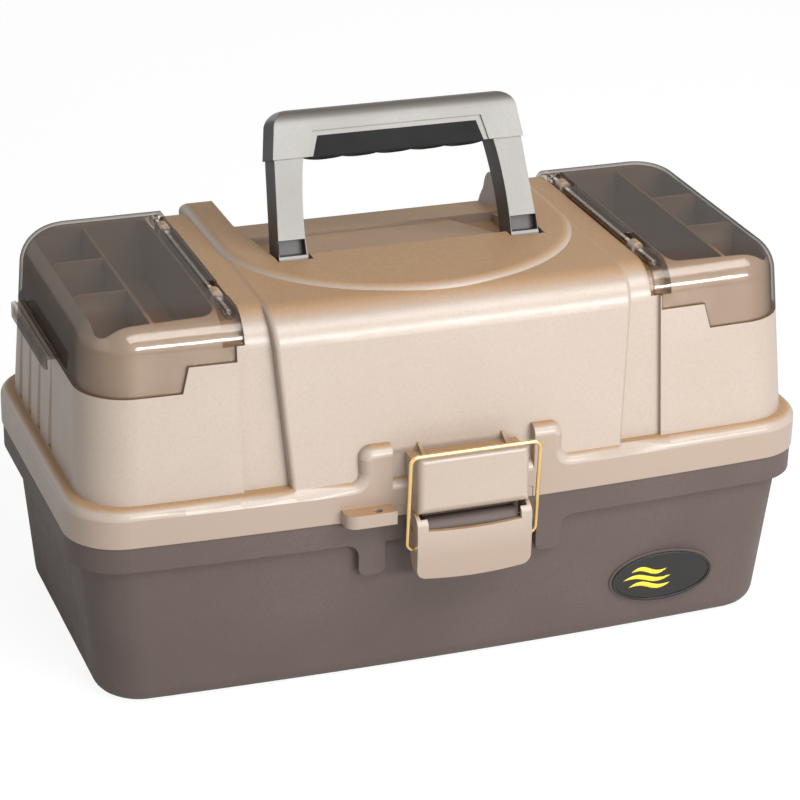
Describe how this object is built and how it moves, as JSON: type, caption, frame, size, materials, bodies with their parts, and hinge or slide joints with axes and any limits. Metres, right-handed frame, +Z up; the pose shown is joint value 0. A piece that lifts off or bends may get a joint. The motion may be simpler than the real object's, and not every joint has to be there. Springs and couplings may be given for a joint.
{
  "type": "tackle box",
  "caption": "Cantilever tackle box: a hinged lid with clear-covered bins lifts stepped trays on arms from a deep tub, with a draw latch and a folding handle.",
  "frame": {"origin": "middle of the flat underside of the tub", "axes": "+Z up, +Y towards the rear hinge, +X to the right seen from the latch side"},
  "size_m": [0.459, 0.2559, 0.314],
  "materials": {
    "sandstone_plastic": "pearlescent moulded polypropylene with a fine satin texture",
    "graphite_plastic": "graphite brown moulded polypropylene with a fine texture",
    "smoke_clear": "smoke-brown clear moulding, polished",
    "silver_grey": "silver-grey satin moulding",
    "black_rubber": "matt soft rubber",
    "brass_wire": "polished brass-plated wire",
    "steel": "plated steel",
    "zinc_steel": "zinc-plated strip",
    "tan_plastic": "tan moulded tray plastic, satin",
    "black_gloss": "gloss black moulding",
    "badge_print": "gloss dark face with plain yellow wave lines"
  },
  "bodies": {
    "base": {"tub": "graphite_plastic", "badge_rim": "black_gloss", "badge_face": "badge_print", "lid_hinge_pins": "steel", "latch_pin": "brass_wire", "arm_pivot_rivets": "steel"},
    "lid": {"lid_shell": "sandstone_plastic", "right_cover_pin": "steel", "left_cover_pin": "steel", "right_tray_track": "zinc_steel", "left_tray_track": "zinc_steel", "track_rivets": "steel", "handle_pins": "steel"},
    "right_cover": {"right_cover": "smoke_clear"},
    "left_cover": {"left_cover": "smoke_clear"},
    "handle": {"handle_frame": "silver_grey", "handle_grip": "black_rubber"},
    "lever": {"latch_lever": "sandstone_plastic"},
    "bail": {"latch_bail": "brass_wire"},
    "rear_arms": {"rear_arm_right": "zinc_steel", "rear_arm_left": "zinc_steel", "lift_studs": "steel"},
    "front_arms": {"front_arm_right": "zinc_steel", "front_arm_left": "zinc_steel"},
    "tray_1": {"tray_1": "tan_plastic", "tray_1_rivets": "steel", "tray_1_dividers": "tan_plastic"},
    "tray_2": {"tray_2": "tan_plastic", "tray_2_rivets": "steel", "tray_2_dividers": "tan_plastic"},
    "tray_3": {"tray_3": "tan_plastic", "tray_3_rivets": "steel", "tray_3_dividers": "tan_plastic"}
  },
  "joints": [
    {"name": "lid_hinge", "type": "hinge", "parent": "base", "child": "lid", "pos_m": [0, 0.118, 0.109], "axis": [-1, 0, 0], "range_deg": [0, 100]},
    {"name": "rear_arm_hinge", "type": "hinge", "parent": "base", "child": "rear_arms", "pos_m": [0, 0.08, 0.055], "axis": [-1, 0, 0], "range_deg": [0, 56]},
    {"name": "front_arm_hinge", "type": "hinge", "parent": "base", "child": "front_arms", "pos_m": [0, 0.055, 0.055], "axis": [-1, 0, 0], "range_deg": [0, 56]},
    {"name": "tray_1_hinge", "type": "hinge", "parent": "rear_arms", "child": "tray_1", "pos_m": [0, 0.04553, 0.08393], "axis": [-1, 0, 0], "range_deg": [-56, 0]},
    {"name": "tray_2_hinge", "type": "hinge", "parent": "rear_arms", "child": "tray_2", "pos_m": [0, 0.00024, 0.12193], "axis": [-1, 0, 0], "range_deg": [-56, 0]},
    {"name": "tray_3_hinge", "type": "hinge", "parent": "rear_arms", "child": "tray_3", "pos_m": [0, -0.04505, 0.15993], "axis": [-1, 0, 0], "range_deg": [-56, 0]},
    {"name": "right_cover_hinge", "type": "hinge", "parent": "lid", "child": "right_cover", "pos_m": [0.131, 0, 0.23323], "axis": [0, -1, 0], "range_deg": [0, 105]},
    {"name": "left_cover_hinge", "type": "hinge", "parent": "lid", "child": "left_cover", "pos_m": [-0.131, 0, 0.23323], "axis": [0, 1, 0], "range_deg": [0, 105]},
    {"name": "handle_hinge", "type": "hinge", "parent": "lid", "child": "handle", "pos_m": [0, -0.0098, 0.22753], "axis": [-1, 0, 0], "range_deg": [-20, 60]},
    {"name": "lever_hinge", "type": "hinge", "parent": "base", "child": "lever", "pos_m": [0, -0.1235, 0.105], "axis": [-1, 0, 0], "range_deg": [0, 90]},
    {"name": "bail_hinge", "type": "hinge", "parent": "lever", "child": "bail", "pos_m": [0, -0.1275, 0.0938], "axis": [-1, 0, 0], "range_deg": [-112.5, 0]}
  ],
  "couplings": [
    {"joint": "rear_arm_hinge", "follows": "lid_hinge", "ratio": 0.56},
    {"joint": "front_arm_hinge", "follows": "lid_hinge", "ratio": 0.56},
    {"joint": "tray_1_hinge", "follows": "lid_hinge", "ratio": -0.56},
    {"joint": "tray_2_hinge", "follows": "lid_hinge", "ratio": -0.56},
    {"joint": "tray_3_hinge", "follows": "lid_hinge", "ratio": -0.56},
    {"joint": "bail_hinge", "follows": "lever_hinge", "ratio": -1.25}
  ]
}
